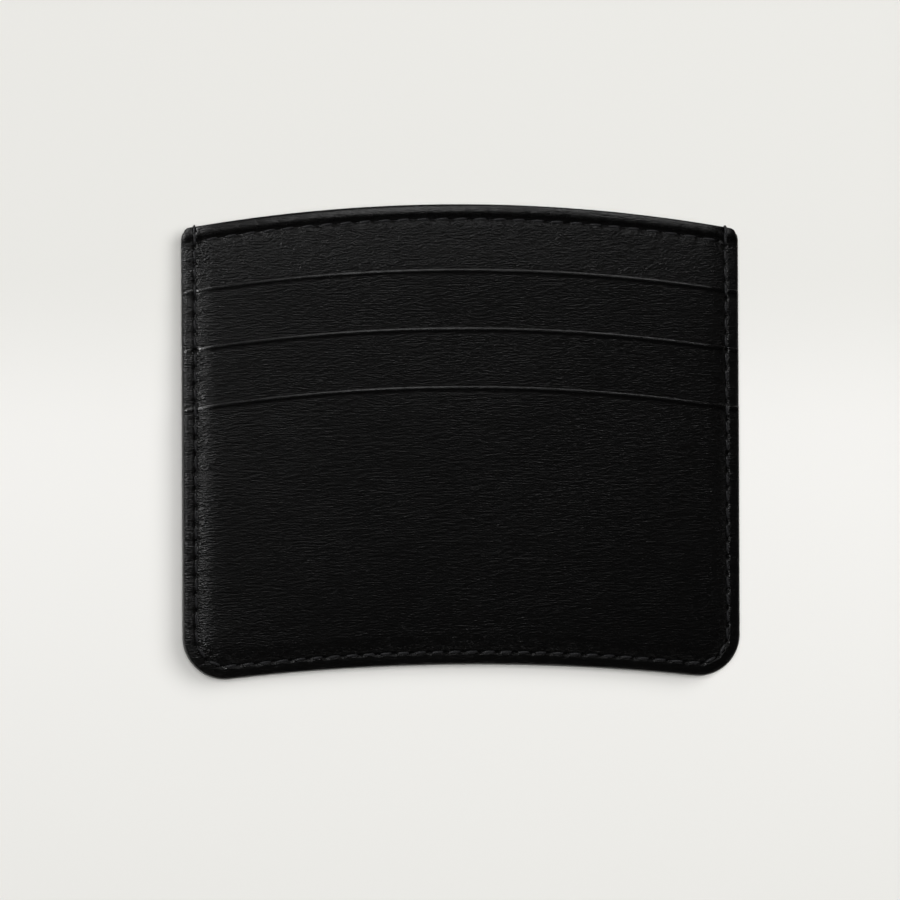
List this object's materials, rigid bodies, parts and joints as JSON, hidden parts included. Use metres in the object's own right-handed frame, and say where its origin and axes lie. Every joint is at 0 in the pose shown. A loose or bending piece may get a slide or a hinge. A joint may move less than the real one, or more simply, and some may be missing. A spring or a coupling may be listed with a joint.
{
  "type": "card holder",
  "caption": "Flat leather card holder with stepped card slots on both faces, an arched top edge with a centre pocket, a hollow foot and rounded bottom corners.",
  "frame": {"origin": "on the ground under the middle of the outline, with the holder lying on its back", "axes": "+X across the holder, +Y up its face to the open arched top edge, +Z out of the front face"},
  "size_m": [0.1, 0.0846, 0.0058],
  "materials": {
    "boarded_leather": "satin",
    "lining_textile": "matte",
    "bonded_board": "matte",
    "sewing_thread": "satin",
    "edge_paint": "satin"
  },
  "bodies": {
    "root": {"front_lower_panel": "boarded_leather", "front_lower_lining": "lining_textile", "front_middle_strip": "boarded_leather", "front_middle_tail": "lining_textile", "front_upper_strip": "boarded_leather", "front_upper_tail": "lining_textile", "front_base_panel": "boarded_leather", "front_stiffener": "bonded_board", "front_centre_lining": "lining_textile", "back_lower_panel": "boarded_leather", "back_lower_lining": "lining_textile", "back_middle_strip": "boarded_leather", "back_middle_tail": "lining_textile", "back_upper_strip": "boarded_leather", "back_upper_tail": "lining_textile", "back_base_panel": "boarded_leather", "back_stiffener": "bonded_board", "back_centre_lining": "lining_textile", "front_top_seam_thread": "sewing_thread", "back_top_seam_thread": "sewing_thread", "needle_thread": "sewing_thread", "bobbin_thread": "sewing_thread", "edge_paint": "edge_paint"}
  },
  "joints": []
}
